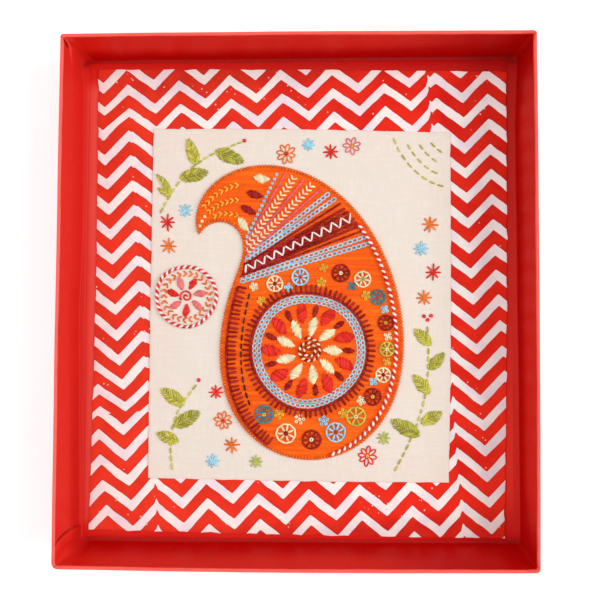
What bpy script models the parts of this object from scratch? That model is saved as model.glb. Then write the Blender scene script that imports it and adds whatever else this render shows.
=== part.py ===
"""Embroidered panel in a tray frame.

An orange applique on a cream ground cloth, on a zigzag-printed cloth, on a
covered board that lies in a shallow card tray. The tray lies on its back:
+X is right, +Y is the top edge of the picture, +Z comes out of its face, and
the origin is the middle of the underside. Metres.
"""

import math

import bmesh
import bpy

MM = 0.001

# Tray frame
TRAY_W = 300.0 * MM
TRAY_H = 333.0 * MM
TRAY_D = 42.0 * MM
WALL_T = 2.4 * MM
BASE_T = 2.4 * MM
RIM_SOFT = 0.5 * MM

# Distance kept between neighbouring solids
GAP = 0.3 * MM

# Layers laid in the tray
BOARD_T = 2.0 * MM
CLOTH_T = 1.0 * MM
BOARD_SOFT = 0.6 * MM

# Steps of the curved outlines
WALL_STEPS = 12
ARC_STEPS = 3
EDGE_STEPS = 8
MOTIF_STEPS = 64

# Each wall: name, turn about +Z in degrees, outward bow at mid length (mm),
# and the radius of its two outer corners (mm), first the one it starts from
WALLS = (
    # name, turn, bow, start_corner, end_corner
    ("wall_bottom", 0.0, 0.6, 4.0, 2.6),
    ("wall_right", 90.0, 0.4, 2.6, 2.2),
    ("wall_top", 180.0, 0.6, 2.2, 2.0),
    ("wall_left", 270.0, 0.4, 2.0, 4.0),
)

# Each flat layer: its corners in mm, anticlockwise from the bottom left, and
# how far the middle of each edge (bottom, right, top, left) bows outwards
LAYERS = {
    "inset_board": {
        "corners": ((-144.8, -159.6), (138.6, -160.2), (141.2, 161.8), (-142.6, 161.2)),
        "bows": (0.3, 0.3, 0.3, 0.4),
        "thick": BOARD_T,
        "soft": BOARD_SOFT,
    },
    "chevron_cloth": {
        "corners": ((-140.5, -154.2), (136.7, -158.1), (139.8, 153.3), (-136.0, 156.6)),
        "bows": (0.6, 1.0, 0.6, -1.3),
        "thick": CLOTH_T,
        "soft": 0.0,
    },
    "ground_cloth": {
        "corners": ((-100.4, -119.4), (100.0, -121.4), (101.9, 111.9), (-97.9, 115.4)),
        "bows": (0.5, 0.9, 0.9, 0.2),
        "thick": CLOTH_T,
        "soft": 0.0,
    },
}

# The applique is a paisley: a round heel that narrows and curls to a tip
MOTIF_HEEL = (2.0 * MM, -106.0 * MM)
MOTIF_LENGTH = 236.0 * MM
MOTIF_HALF = 61.0 * MM
MOTIF_LEAN = 84.0
MOTIF_CURL = 185.0
MOTIF_CURL_POWER = 3.6
MOTIF_TAPER = 1.1

MATERIALS = {
    # name: colour, roughness, metallic
    "red_paper": ((0.56, 0.022, 0.016), 0.42, 0.0),
    "printed_cotton": ((0.80, 0.36, 0.32), 0.9, 0.0),
    "cream_cotton": ((0.86, 0.76, 0.68), 0.9, 0.0),
    "orange_cloth": ((0.90, 0.16, 0.012), 0.75, 0.0),
}


def clear_scene():
    for obj in list(bpy.data.objects):
        bpy.data.objects.remove(obj, do_unlink=True)


def make_material(name):
    colour, roughness, metallic = MATERIALS[name]
    material = bpy.data.materials.new(name)
    material.use_nodes = True
    shader = material.node_tree.nodes["Principled BSDF"]
    shader.inputs["Base Color"].default_value = (*colour, 1.0)
    shader.inputs["Roughness"].default_value = roughness
    shader.inputs["Metallic"].default_value = metallic
    return material


def make_slab(name, outline, low, thick, soft, material, collection, parent):
    """Extrude a closed outline upwards from low by thick, with softened edges."""
    curve = bpy.data.curves.new(name, "CURVE")
    curve.dimensions = "2D"
    curve.fill_mode = "BOTH"
    curve.extrude = thick / 2 - soft
    curve.bevel_depth = soft
    curve.bevel_resolution = 1
    curve.offset = -soft
    spline = curve.splines.new("POLY")
    spline.points.add(len(outline) - 1)
    for point, (x, y) in zip(spline.points, outline):
        point.co = (x, y, 0.0, 1.0)
    spline.use_cyclic_u = True
    guide = bpy.data.objects.new(name + "_outline", curve)
    collection.objects.link(guide)

    evaluated = guide.evaluated_get(bpy.context.evaluated_depsgraph_get())
    mesh = bpy.data.meshes.new_from_object(evaluated)
    mesh.name = name
    bm = bmesh.new()
    bm.from_mesh(mesh)
    bmesh.ops.remove_doubles(bm, verts=bm.verts, dist=1e-6)
    bmesh.ops.recalc_face_normals(bm, faces=bm.faces)
    bm.to_mesh(mesh)
    bm.free()
    bpy.data.objects.remove(guide, do_unlink=True)
    bpy.data.curves.remove(curve)

    mesh.materials.clear()
    mesh.materials.append(material)
    slab = bpy.data.objects.new(name, mesh)
    slab.location = (0.0, 0.0, low + thick / 2)
    slab.parent = parent
    collection.objects.link(slab)
    return slab


def corner_arc(half_length, outer, radius, side, slack):
    """Points of one rounded outer corner, from its mitre to the long edge."""
    centre_u = side * (half_length - radius)
    centre_v = outer - radius
    points = []
    for step in range(ARC_STEPS + 1):
        angle = math.radians(45 + 45 * step / ARC_STEPS)
        u = centre_u + side * radius * math.cos(angle)
        v = centre_v + radius * math.sin(angle)
        points.append((u - side * slack * (step == 0), v))
    return points


def wall_outline(half_length, outer, bow, start_radius, end_radius):
    """Plan of a wall that runs along u, with its outer face at v = outer.

    Its ends are cut on the mitre, drawn back so that two walls keep the gap.
    """
    slack = GAP * 0.75
    inner = outer - WALL_T
    inner_half = half_length - WALL_T - slack

    def bend(u):
        return bow * math.cos(math.pi * u / (2 * half_length))

    inner_edge = [
        (inner_half * (2 * step / WALL_STEPS - 1), inner) for step in range(WALL_STEPS + 1)
    ]
    end = corner_arc(half_length, outer, end_radius, 1, slack)
    start = corner_arc(half_length, outer, start_radius, -1, slack)
    run = end[-1][0] - start[-1][0]
    outer_edge = [
        (end[-1][0] - run * step / WALL_STEPS, outer) for step in range(1, WALL_STEPS)
    ]
    plan = inner_edge + end + outer_edge + start[::-1]
    return [(u, v + bend(u)) for u, v in plan]


def turned(outline, degrees):
    """Turn a plan whose outward side is +v so that 0 degrees faces -Y."""
    angle = math.radians(degrees + 180)
    c, s = math.cos(angle), math.sin(angle)
    return [(c * u - s * v, s * u + c * v) for u, v in outline]


def bowed_quad(corners, bows):
    """A four-cornered outline whose edges bow outwards, all in mm."""
    outline = []
    for index, bow in enumerate(bows):
        x0, y0 = corners[index]
        x1, y1 = corners[(index + 1) % 4]
        length = math.hypot(x1 - x0, y1 - y0)
        out_x, out_y = (y1 - y0) / length, (x0 - x1) / length
        for step in range(EDGE_STEPS):
            share = step / EDGE_STEPS
            lift = bow * math.sin(math.pi * share)
            x = x0 + (x1 - x0) * share + out_x * lift
            y = y0 + (y1 - y0) * share + out_y * lift
            outline.append((x * MM, y * MM))
    return outline


def motif_spine(steps):
    """Points along the paisley's middle line, each with its heading."""
    x, y = MOTIF_HEEL
    points = []
    for step in range(steps + 1):
        share = step / steps
        heading = math.radians(MOTIF_LEAN + MOTIF_CURL * share**MOTIF_CURL_POWER)
        points.append((x, y, heading, share))
        x += MOTIF_LENGTH / steps * math.cos(heading)
        y += MOTIF_LENGTH / steps * math.sin(heading)
    return points


def motif_half_width(share):
    """Half width along the middle line: round at the heel, fine at the tip."""
    peak = 0.5 / (0.5 + MOTIF_TAPER)
    top = peak**0.5 * (1 - peak) ** MOTIF_TAPER
    return MOTIF_HALF * share**0.5 * (1 - share) ** MOTIF_TAPER / top


def motif_outline():
    fine = 1600
    spine = motif_spine(fine)
    # closer steps at the heel and the tip, where the outline turns fastest
    shares = [
        0.5 - 0.5 * math.cos(math.pi * step / MOTIF_STEPS) for step in range(MOTIF_STEPS + 1)
    ]
    right = []
    left = []
    for share in shares:
        x, y, heading, _ = spine[round(share * fine)]
        half = motif_half_width(round(share * fine) / fine)
        side_x, side_y = math.sin(heading), -math.cos(heading)
        right.append((x + side_x * half, y + side_y * half))
        left.append((x - side_x * half, y - side_y * half))
    return right + left[-2:0:-1]


def build():
    clear_scene()
    collection = bpy.data.collections.new("framed_embroidery")
    bpy.context.scene.collection.children.link(collection)
    materials = {name: make_material(name) for name in MATERIALS}
    root = bpy.data.objects.new("framed_embroidery_root", None)
    collection.objects.link(root)

    # The four walls stand on the surface around the base board
    for name, turn, bow, start_radius, end_radius in WALLS:
        lying = turn in (0.0, 180.0)
        half_length = (TRAY_W if lying else TRAY_H) / 2
        outer = (TRAY_H if lying else TRAY_W) / 2
        plan = wall_outline(half_length, outer, bow * MM, end_radius * MM, start_radius * MM)
        make_slab(
            name, turned(plan, turn), 0.0, TRAY_D, RIM_SOFT,
            materials["red_paper"], collection, root,
        )

    # Base board between the walls
    half_w = TRAY_W / 2 - WALL_T - GAP
    half_h = TRAY_H / 2 - WALL_T - GAP
    base = [(-half_w, -half_h), (half_w, -half_h), (half_w, half_h), (-half_w, half_h)]
    make_slab("tray_base", base, 0.0, BASE_T, 0.0, materials["red_paper"], collection, root)

    # Board and cloths, one on another
    looks = {
        "inset_board": "red_paper",
        "chevron_cloth": "printed_cotton",
        "ground_cloth": "cream_cotton",
    }
    level = BASE_T + GAP
    for name, layer in LAYERS.items():
        outline = bowed_quad(layer["corners"], layer["bows"])
        make_slab(
            name, outline, level, layer["thick"], layer["soft"],
            materials[looks[name]], collection, root,
        )
        level += layer["thick"] + GAP

    # The applique on the ground cloth
    make_slab(
        "motif_applique", motif_outline(), level, CLOTH_T, 0.0,
        materials["orange_cloth"], collection, root,
    )


build()
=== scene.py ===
import bisect
import math
import random

import bmesh
import bpy
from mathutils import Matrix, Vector, noise


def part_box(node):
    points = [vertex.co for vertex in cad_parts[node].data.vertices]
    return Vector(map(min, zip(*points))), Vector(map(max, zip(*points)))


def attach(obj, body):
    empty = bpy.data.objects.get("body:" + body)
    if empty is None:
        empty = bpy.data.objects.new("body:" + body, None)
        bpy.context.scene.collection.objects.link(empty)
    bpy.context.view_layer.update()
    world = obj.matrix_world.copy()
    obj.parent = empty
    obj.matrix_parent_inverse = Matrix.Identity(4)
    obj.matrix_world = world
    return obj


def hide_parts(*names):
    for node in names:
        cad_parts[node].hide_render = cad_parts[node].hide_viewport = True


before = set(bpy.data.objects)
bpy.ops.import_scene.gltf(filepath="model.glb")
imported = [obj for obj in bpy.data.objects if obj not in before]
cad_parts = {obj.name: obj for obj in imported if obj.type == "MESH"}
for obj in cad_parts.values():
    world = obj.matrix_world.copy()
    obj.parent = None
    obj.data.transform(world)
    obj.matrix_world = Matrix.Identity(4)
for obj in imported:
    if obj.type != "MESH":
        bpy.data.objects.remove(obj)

bl_info = {
    "name": "Appliqued embroidery in a tray frame",
    "version": (1, 0, 0),
    "blender": (4, 5, 0),
    "location": "View3D > Sidebar > Embroidery",
    "description": "Finishes the tray, the cloths and every stitch of a framed embroidery",
    "category": "Object",
}

BODY = "root"
MM = 0.001


def rgb(red, green, blue):
    """A colour given in 0 to 255 screen values, as the linear values that materials use."""
    values = []
    for value in (red, green, blue):
        value /= 255
        values.append(value / 12.92 if value <= 0.04045 else ((value + 0.055) / 1.055) ** 2.4)
    return tuple(values)


def levels(node):
    """The heights of a solid's underside and face in the frame."""
    low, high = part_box(node)
    return low[2], high[2]


_, TRAY_TOP = levels("wall_left")
_, BASE_TOP = levels("tray_base")
BOARD_LOW, BOARD_TOP = levels("inset_board")
PRINT_LOW, PRINT_TOP = levels("chevron_cloth")
GROUND_LOW, GROUND_TOP = levels("ground_cloth")
MOTIF_LOW, MOTIF_TOP = levels("motif_applique")

# The flat layers: corners in mm, anticlockwise from the bottom left, and how
# far the middle of each edge (bottom, right, top, left) bows outwards
BOARD_PLAN = (
    ((-144.8, -159.6), (138.6, -160.2), (141.2, 161.8), (-142.6, 161.2)), (0.3, 0.3, 0.3, 0.4)
)
PRINT_PLAN = (
    ((-140.5, -154.2), (136.7, -158.1), (139.8, 153.3), (-136.0, 156.6)), (0.6, 1.0, 0.6, -1.3)
)
GROUND_PLAN = (
    ((-100.4, -119.4), (100.0, -121.4), (101.9, 111.9), (-97.9, 115.4)), (0.5, 0.9, 0.9, 0.2)
)


# ---- properties ----


def number(name, description, default, **limits):
    return bpy.props.FloatProperty(
        name=name, description=description, default=default, **limits
    )


def length(name, description, default):
    return number(name, description, default, min=0.0, unit="LENGTH", precision=5)


def colour(name, description, default):
    return bpy.props.FloatVectorProperty(
        name=name, description=description, default=default, size=3, min=0.0, max=1.0,
        subtype="COLOR",
    )


class TraySettings(bpy.types.PropertyGroup):
    width: length("Width", "Outer width of the tray", 0.300)
    height: length("Height", "Outer height of the tray", 0.333)
    wall: length("Wall", "Thickness of a covered wall", 0.0024)
    paper: colour("Paper", "Covering paper", rgb(234, 36, 22))
    # painted shade: the darker red painted at the foot of the walls, in the right-hand corners and
    # on the floor by the walls, also mottled in at random
    paper_dark_and_shade: colour("Paper, dark", "Where the paper is denser", rgb(200, 2, 0))
    paper_inside: colour("Paper, inside", "On the floor of the tray", rgb(222, 40, 28))
    # pale paper: wear along the rim, and the painted highlight and sheen on the rim, the fold's
    # ridge and the left margin
    paper_wear_and_sheen: colour("Paper, worn", "Paper rubbed pale along the rim", rgb(255, 112, 100))


class PrintSettings(bpy.types.PropertyGroup):
    wave: length("Wave", "Length of one zigzag", 0.03395)
    rise: length("Rise", "Height of a zigzag from valley to peak", 0.0149)
    row: length("Row", "Distance from one white band to the next", 0.0170)
    band: length("Band", "Height of a white band", 0.0075)
    slant: number("Slant", "Turn of the print on the cloth", math.radians(4.3), subtype="ANGLE")
    ink: colour("Ink", "Printed red", rgb(235, 40, 20))
    ink_dark: colour("Ink, dark", "Where the block left more ink", rgb(218, 24, 10))
    cloth: colour("Cloth", "Bare cotton", rgb(246, 238, 232))


class ClothSettings(bpy.types.PropertyGroup):
    ground: colour("Ground", "Cream cotton", rgb(230, 220, 208))
    motif: colour("Motif", "Orange cloth", rgb(252, 106, 10))
    motif_dark: colour("Motif, dark", "Darker slubs of the orange cloth", rgb(234, 82, 4))


class ThreadSettings(bpy.types.PropertyGroup):
    width: number("Width", "Thickness of every thread against its drawn one", 1.0, min=0.2, max=3.0)
    rise: number("Rise", "How far a stitch swells above the cloth", 1.0, min=0.0, max=3.0)
    sides: bpy.props.IntProperty(
        name="Sides", description="Sides of a thread's section", default=6, min=3, max=16
    )


class StageSettings(bpy.types.PropertyGroup):
    lens: number("Lens", "Focal length of the camera in mm", 42.06, min=1.0)
    floor: colour("Floor", "Plain floor", (0.93, 0.93, 0.93))


GROUPS = {
    "tray_look": TraySettings,
    "print_look": PrintSettings,
    "cloth_look": ClothSettings,
    "thread_look": ThreadSettings,
    "stage_look": StageSettings,
}

THREADS = {
    # thread: its colour and how far single stitches vary from it
    "ivory": (rgb(250, 234, 190), 0.10),
    "white": (rgb(252, 244, 238), 0.05),
    "red": (rgb(236, 38, 20), 0.14),
    "maroon": (rgb(164, 4, 0), 0.16),
    "rose": (rgb(244, 128, 128), 0.10),
    "pink": (rgb(238, 104, 124), 0.10),
    "orange": (rgb(250, 122, 30), 0.12),
    "gold": (rgb(252, 190, 60), 0.12),
    "sky": (rgb(162, 224, 248), 0.10),
    "teal": (rgb(46, 140, 152), 0.14),
    "green": (rgb(204, 198, 78), 0.16),
    "olive": (rgb(186, 181, 64), 0.18),
    "lime": (rgb(190, 196, 96), 0.12),
    "black": (rgb(40, 25, 30), 0.20),
}


# ---- node trees ----


class Tree:
    """Builds one node tree: each call adds a node with its inputs and settings."""

    def __init__(self, nodes, links):
        self.nodes, self.links = nodes, links

    def add(self, kind, inputs=None, output=0, **settings):
        """Adds a node and returns one of its outputs."""
        made = self.nodes.new(kind)
        for name, value in settings.items():
            setattr(made, name, value)
        for key, value in (inputs or {}).items():
            self.feed(made.inputs[key], value)
        return Number(self, made.outputs[output])

    def feed(self, socket, value):
        if isinstance(value, Number):
            value = value.socket
        if isinstance(value, bpy.types.NodeSocket):
            self.links.new(value, socket)
        elif hasattr(value, "__len__") and not isinstance(value, str) and socket.type == "RGBA":
            socket.default_value = (*value[:3], 1.0)
        else:
            socket.default_value = value

    def split(self, vector):
        made = self.add("ShaderNodeSeparateXYZ", {0: vector}).socket.node
        return [Number(self, socket) for socket in made.outputs]

    def joined(self, x=0.0, y=0.0, z=0.0):
        return self.add("ShaderNodeCombineXYZ", {0: x, 1: y, 2: z})


class Number:
    """An output in a tree. Sums on it add Math nodes."""

    def __init__(self, tree, socket):
        self.tree, self.socket = tree, socket

    def maths(self, operation, *terms):
        return self.tree.add("ShaderNodeMath", dict(enumerate(terms)), operation=operation)

    def ramp(self, low, high):
        """0 below low and 1 above high, smooth between them."""
        inputs = {"Value": self, "From Min": low, "From Max": high}
        return self.tree.add("ShaderNodeMapRange", inputs, interpolation_type="SMOOTHSTEP")

    def __rsub__(self, other):
        return self.maths("SUBTRACT", other, self)


def maths_method(operation):
    return lambda self, *others: self.maths(operation, self, *others)


for method, operation in {
    "__add__": "ADD", "__radd__": "ADD", "__sub__": "SUBTRACT", "__mul__": "MULTIPLY",
    "__rmul__": "MULTIPLY", "__truediv__": "DIVIDE", "__pow__": "POWER", "__abs__": "ABSOLUTE",
    "__gt__": "GREATER_THAN", "__lt__": "LESS_THAN", "part": "FRACT", "sine": "SINE",
    "arcsine": "ARCSINE", "most": "MAXIMUM",
}.items():
    setattr(Number, method, maths_method(operation))


class Look(Tree):
    """One procedural material, with its shader's constants set on the shader."""

    def __init__(self, name, **constants):
        self.material = bpy.data.materials.new(name)
        self.material.use_nodes = True
        tree = self.material.node_tree
        super().__init__(tree.nodes, tree.links)
        self.shader = tree.nodes["Principled BSDF"].inputs
        for key, value in constants.items():
            key = key.replace("_", " ").title().replace("Ior", "IOR")
            self.feed(self.shader[key], value)
        self.place = self.add("ShaderNodeTexCoord", output="Object")

    def moved(self, location=(0, 0, 0), turn=0.0, scale=(1, 1, 1)):
        """The object's coordinates, moved, turned and stretched."""
        return self.add("ShaderNodeMapping", {
            "Vector": self.place, "Location": location, "Rotation": (0, 0, turn), "Scale": scale,
        })

    def noise(self, fineness, detail=2.0, rough=0.5, **move):
        return self.add("ShaderNodeTexNoise", {
            "Vector": self.moved(**move) if move else self.place,
            "Scale": fineness, "Detail": detail, "Roughness": rough,
        })

    def cells(self, fineness, location):
        """Distance from the nearest of many scattered spots."""
        inputs = {"Vector": self.moved(location), "Scale": fineness}
        return self.add("ShaderNodeTexVoronoi", inputs, "Distance", feature="F1")

    def blend(self, share, first, second):
        inputs = {0: share, 6: first, 7: second}
        return self.add("ShaderNodeMix", inputs, 2, data_type="RGBA")

    def coated(self, base, *coats):
        """Lays coats over a base in turn, each given as how much covers and its colour."""
        for share, tint in coats:
            base = self.blend(share, base, tint)
        return base

    def attribute(self, name, output="Fac"):
        return self.add("ShaderNodeAttribute", output=output, attribute_name=name)

    def finish(self, colour, roughness=None, height=None, depth=0.0, strength=0.0):
        self.feed(self.shader["Base Color"], colour)
        if roughness is not None:
            self.feed(self.shader["Roughness"], roughness)
        if height is not None:
            inputs = {"Strength": strength, "Distance": depth, "Height": height}
            self.feed(self.shader["Normal"], self.add("ShaderNodeBump", inputs))
        return self.material


def weave(look, pitch):
    """Height of a plain weave: threads over and under in both directions."""
    x, y, _ = look.split(look.place)
    wander = look.noise(90.0) * 0.8
    warp = (x * (math.tau / pitch) + wander * 3.0).sine()
    weft = (y * (math.tau / pitch) + wander * 4.0).sine()
    cross = (x * (math.pi / pitch)).sine() * (y * (math.pi / pitch)).sine()
    height = 0.5 + 0.16 * warp + 0.16 * weft + 0.18 * cross
    return height + look.noise(1400.0) * 0.3


def paper_look(settings, name, tray=True):
    """Smooth coated paper: pale along the rim from wear and a painted highlight, dark in its
    mitres, with painted light and shade by the walls.
    """
    look = Look(name, specular_ior_level=0.14)
    x, y, z = look.split(look.place)
    cloud = look.noise(14.0, 3.0) - 0.5
    fibre = look.noise(420.0, 3.0, 0.6, scale=(1, 1, 0.4))
    # painted shade towards the foot of the walls and in the right-hand corners, painted light on
    # the left wall; paler and duller on the floor of the tray
    inner = look.attribute("inner") if tray else 1.0
    left = (1.0 - x.ramp(-0.1425, -0.1375)) * inner
    corner = x.ramp(0.02, 0.146) * abs(y).ramp(0.115, 0.162)
    low_wall = y < -0.157
    foot = (z - low_wall * 0.003).ramp(0.005, 0.031) * (1.0 - low_wall * 0.3) - corner * 0.8
    lit = left * (y.ramp(-0.154, -0.146) * 0.25 + y.ramp(-0.13, 0.02) * 0.3 + 0.08)
    painted_light_and_tone = (foot.most(lit).most((1.0 - inner) * 0.85) + cloud * 0.35).ramp(0.05, 0.95)
    base = look.blend(painted_light_and_tone, settings.paper_dark_and_shade, settings.paper)
    floor = (1.0 - z.ramp(0.0044, 0.0062)) * inner
    # painted shade on the floor: darker by the top and bottom walls and in the right-hand corners,
    # mottled at random
    ends = abs(y).ramp(0.152, 0.160)
    shaded = cloud * 0.6 + 0.25 + corner * 0.35 + ends * (y.ramp(0.1, -0.1) * 0.15 + 0.25)
    inside = look.blend(shaded, settings.paper_inside, settings.paper_dark_and_shade)
    # painted shade in the lining strip between the board and the top and bottom walls
    gutter_shade = floor * abs(y).ramp(0.157, 0.161) * (0.85 if tray else 0.0)
    # the top and right margins lie in the walls' shade, the lower right in the light
    margin = x.ramp(0.130, 0.140)
    shade = (y.ramp(0.149, 0.151) * x.ramp(-0.16, 0.02)).most(margin * y.ramp(-0.03, 0.13))
    shade = shade * floor * 0.42
    # painted shade down the right wall, darkest towards the top
    wall = x.ramp(0.1455, 0.147) * inner * (1.0 - floor) * (y.ramp(-0.12, 0.14) * 0.18 + 0.10)
    bright = margin * (1.0 - x.ramp(0.1425, 0.1435)) * y.ramp(0.0, -0.09)
    bright = bright * y.ramp(-0.150, -0.125) * floor * 0.40
    # painted sheen on the left margin and, faintly, on the left wall
    painted_sheen = x.ramp(-0.1475, -0.139) * (1.0 - x.ramp(-0.136, -0.120)) * floor * 0.50
    painted_sheen = painted_sheen * y.ramp(-0.156, -0.144) * (1.0 - y.ramp(0.140, 0.152))
    painted_sheen = painted_sheen.most(left * (1.0 - floor) * 0.07)
    # paler along the rim, partly wear and partly a painted highlight; dark where two sheets meet in
    # a mitre
    patchy = look.noise(70.0, 3.0) * 0.0012
    rim = (z + patchy - 0.0006).ramp(TRAY_TOP - 0.0011, TRAY_TOP - 0.0004)
    across = abs(abs(x) - settings.width / 2 - abs(y) + settings.height / 2)
    mitre = (1.0 - across.ramp(0.0001, 0.00045)) * (z > TRAY_TOP - 0.0016)
    # painted shadow in the fold's crease and notch, kept on the points as crease
    crease = look.attribute("crease")
    dark = crease.most(mitre * 0.6)
    # the painted highlight on the rim is weaker on the right and lower sides
    rubbed_and_lit = 0.72 + 0.25 * look.noise(160.0) - (x > 0.14) * 0.20 - (abs(y) > 0.16) * 0.12
    wear_and_highlight = rim * (1.0 - 0.45 * mitre) * rubbed_and_lit
    base = look.coated(
        base, (floor, inside), (gutter_shade, rgb(160, 2, 0)), (shade.most(wall), rgb(150, 0, 0)),
        (bright, rgb(255, 60, 40)), (painted_sheen, settings.paper_wear_and_sheen),
        (fibre.ramp(0.55, 0.85) * 0.10, settings.paper_wear_and_sheen),
        # painted highlight on the fold's ridge, where crease is below 0
        ((0.0 - crease).most(0.0) * 0.4, settings.paper_wear_and_sheen), (wear_and_highlight, settings.paper_wear_and_sheen),
        (dark, rgb(112, 4, 6)),
    )
    dents = look.noise(28.0) * 0.9 + look.noise(900.0) * 0.05
    rough = 0.42 + look.noise(60.0) * 0.16 + wear_and_highlight * 0.1
    return look.finish(base, rough, dents - dark * 0.4, 0.0006, 0.45)


LEFT_JOINT, RIGHT_JOINT = -0.1045, 0.0980  # where the three printed strips meet
ROUNDING = 0.997  # below 1, so that a zigzag's peaks are a little rounded


def print_look(settings):
    """Cotton block-printed with zigzags: blocks that don't quite meet, and uneven ink."""
    look = Look("printed_cotton_finish", specular_ior_level=0.15)
    x, y, _ = look.split(look.moved(turn=-settings.slant))
    # the cloth was printed in three strips, each a little off the next
    left, right = x < LEFT_JOINT, x > RIGHT_JOINT
    wobble = look.noise(110.0) - 0.5
    slow = look.noise(26.0, 1.0, location=(3, 1, 0)) - 0.5
    u = x + wobble * 0.0013 + slow * 0.0012
    v = y + wobble * 0.0009 + slow * 0.0012
    # where two strips meet the ink ran up a little
    run = 1.0 - abs(x - RIGHT_JOINT).ramp(0.0, 0.0018)
    run = run.most((1.0 - abs(x - LEFT_JOINT).ramp(0.0, 0.0016)) * (v < -0.100))
    v = v - run * (0.0004 + look.noise(90.0, 1.0, location=(4, 9, 0)) * 0.0040)
    below, above = v.ramp(-0.14, -0.09) * (v < -0.067), v.ramp(-0.06, -0.03) * (v > -0.067)
    u = u + left * (below + above * (1.0 - v.ramp(0.125, 0.14))) * 0.0022
    wave = settings.wave + v.ramp(0.0, 0.15) * 0.00055
    angle = ((u + 0.1213) / wave - 0.25) * math.tau
    fold = (angle.sine() * ROUNDING).arcsine() / math.asin(ROUNDING) * 0.5 + 0.5
    middle = (v + 0.1425) / settings.row
    middle = middle + v.ramp(-0.076, -0.046) * 0.25 + v.ramp(0.122, 0.152) * 0.13
    middle = middle - (1.0 - left) * (u + 0.060) * 1.2
    rows = middle + right * ((v + 0.1396) / 0.01689 - middle)
    stripe = (rows - fold * (settings.rise / settings.row)).part()
    thin = look.noise(60.0, location=(7, 2, 0)) - 0.5
    start = 1.0 - settings.band / settings.row + thin * 0.14
    white = (stripe - start).ramp(-0.012, 0.018)
    white = white * (1.0 - (stripe + thin * 0.05).ramp(0.975, 0.999))
    # ink squeezed out along the edges of the block
    near = 1.0 - abs(stripe - start).ramp(0.01, 0.055)
    near = near.most(1.0 - abs((stripe + 0.5).part() - 0.5).ramp(0.01, 0.05))
    dust = 1.0 - look.cells(260.0, (2, 5, 0)).ramp(0.09, 0.17)
    dust = dust * look.noise(45.0, 1.0).ramp(0.56, 0.62)
    stray = 1.0 - look.cells(190.0, (1, 8, 0)).ramp(0.06, 0.12)
    stray = stray * look.noise(38.0, 1.0).ramp(0.62, 0.66)
    # uneven ink and cloth; painted sheen on the ink to the left, painted light on the ink at the
    # lower right and on the bare cloth along the right edge
    ink = look.coated(
        settings.ink, (look.noise(34.0, 3.0, 0.6).ramp(0.35, 0.7), settings.ink_dark),
        ((1.0 - x.ramp(-0.15, 0.12)) * 0.028, rgb(255, 224, 150)),
        (near * 0.6, rgb(172, 14, 12)), (dust * 0.8, settings.cloth),
        (x.ramp(0.09, 0.14) * y.ramp(0.03, -0.10) * 0.30, rgb(255, 60, 36)),
    )
    bare = look.coated(
        settings.cloth, (look.noise(70.0, location=(9, 4, 0)).ramp(0.35, 0.7), rgb(234, 221, 227)),
        (stray * 0.7, settings.ink), (x.ramp(0.125, 0.145) * 0.9, rgb(255, 252, 250)),
    )
    # painted shade: both darker by the top and bottom walls
    wall_shade = y.ramp(0.10, 0.14) * 0.07 + y.ramp(0.138, 0.156) * 0.20
    wall_shade = wall_shade * (x.ramp(-0.12, -0.05) * 0.7 + 0.3) + y.ramp(-0.1445, -0.1575) * 0.22
    wall_shade = wall_shade * (1.0 - x.ramp(0.06, 0.13) * 0.5)
    # painted shade on the right side, from the middle up to near the top
    beside = x.ramp(0.09, 0.11) * y.ramp(-0.04, 0.08) * (1.0 - y.ramp(0.12, 0.15)) * 0.09
    wall_shade = wall_shade * (1.2 - white * 0.6) + beside * (1.0 - white * 0.9)
    base = look.coated(ink, (white, bare), (wall_shade, rgb(60, 0, 0)))
    height = weave(look, 0.00046) * 0.6 - white * 0.12
    return look.finish(base, 0.76 + 0.12 * white, height, 0.00014, 0.55)


def ground_look(settings):
    """Cream cotton: a plain weave with thicker threads here and there."""
    look = Look("cream_cotton_finish", roughness=0.9, specular_ior_level=0.2)
    threads = look.noise(900.0, scale=(0.12, 1, 1)) + look.noise(900.0, scale=(1, 0.12, 1))
    cloud = look.noise(22.0, 3.0).ramp(0.3, 0.75)
    base = look.coated(
        settings.ground, (cloud * 0.4, rgb(232, 215, 200)),
        (threads.ramp(0.9, 1.25) * 0.18, rgb(250, 242, 232)),
    )
    pucker = look.noise(130.0) * 1.5
    return look.finish(base, None, weave(look, 0.00052) * 0.5 + pucker, 0.00018, 0.6)


def motif_look(settings):
    """Orange slubbed cloth: thick and thin weft threads run across it."""
    look = Look("orange_cloth_finish", roughness=0.7, specular_ior_level=0.15)
    slubs = look.noise(620.0, 3.0, 0.6, scale=(0.05, 1, 1))
    fine = look.noise(1200.0, scale=(1, 0.08, 1))
    base = look.coated(
        settings.motif_dark, (slubs.ramp(0.38, 0.68), settings.motif),
        (slubs.ramp(0.66, 0.8) * 0.35, rgb(255, 140, 36)),
        (fine.ramp(0.55, 0.8) * 0.3, settings.motif_dark),
        (look.noise(30.0).ramp(0.5, 0.8) * 0.2, rgb(255, 132, 30)),
    )
    pucker = look.noise(150.0) * 1.3
    return look.finish(base, None, slubs * 0.9 + fine * 0.3 + pucker, 0.00022, 0.7)


TWIST = 0.0021  # length of thread in which its strands wind round once


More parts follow.
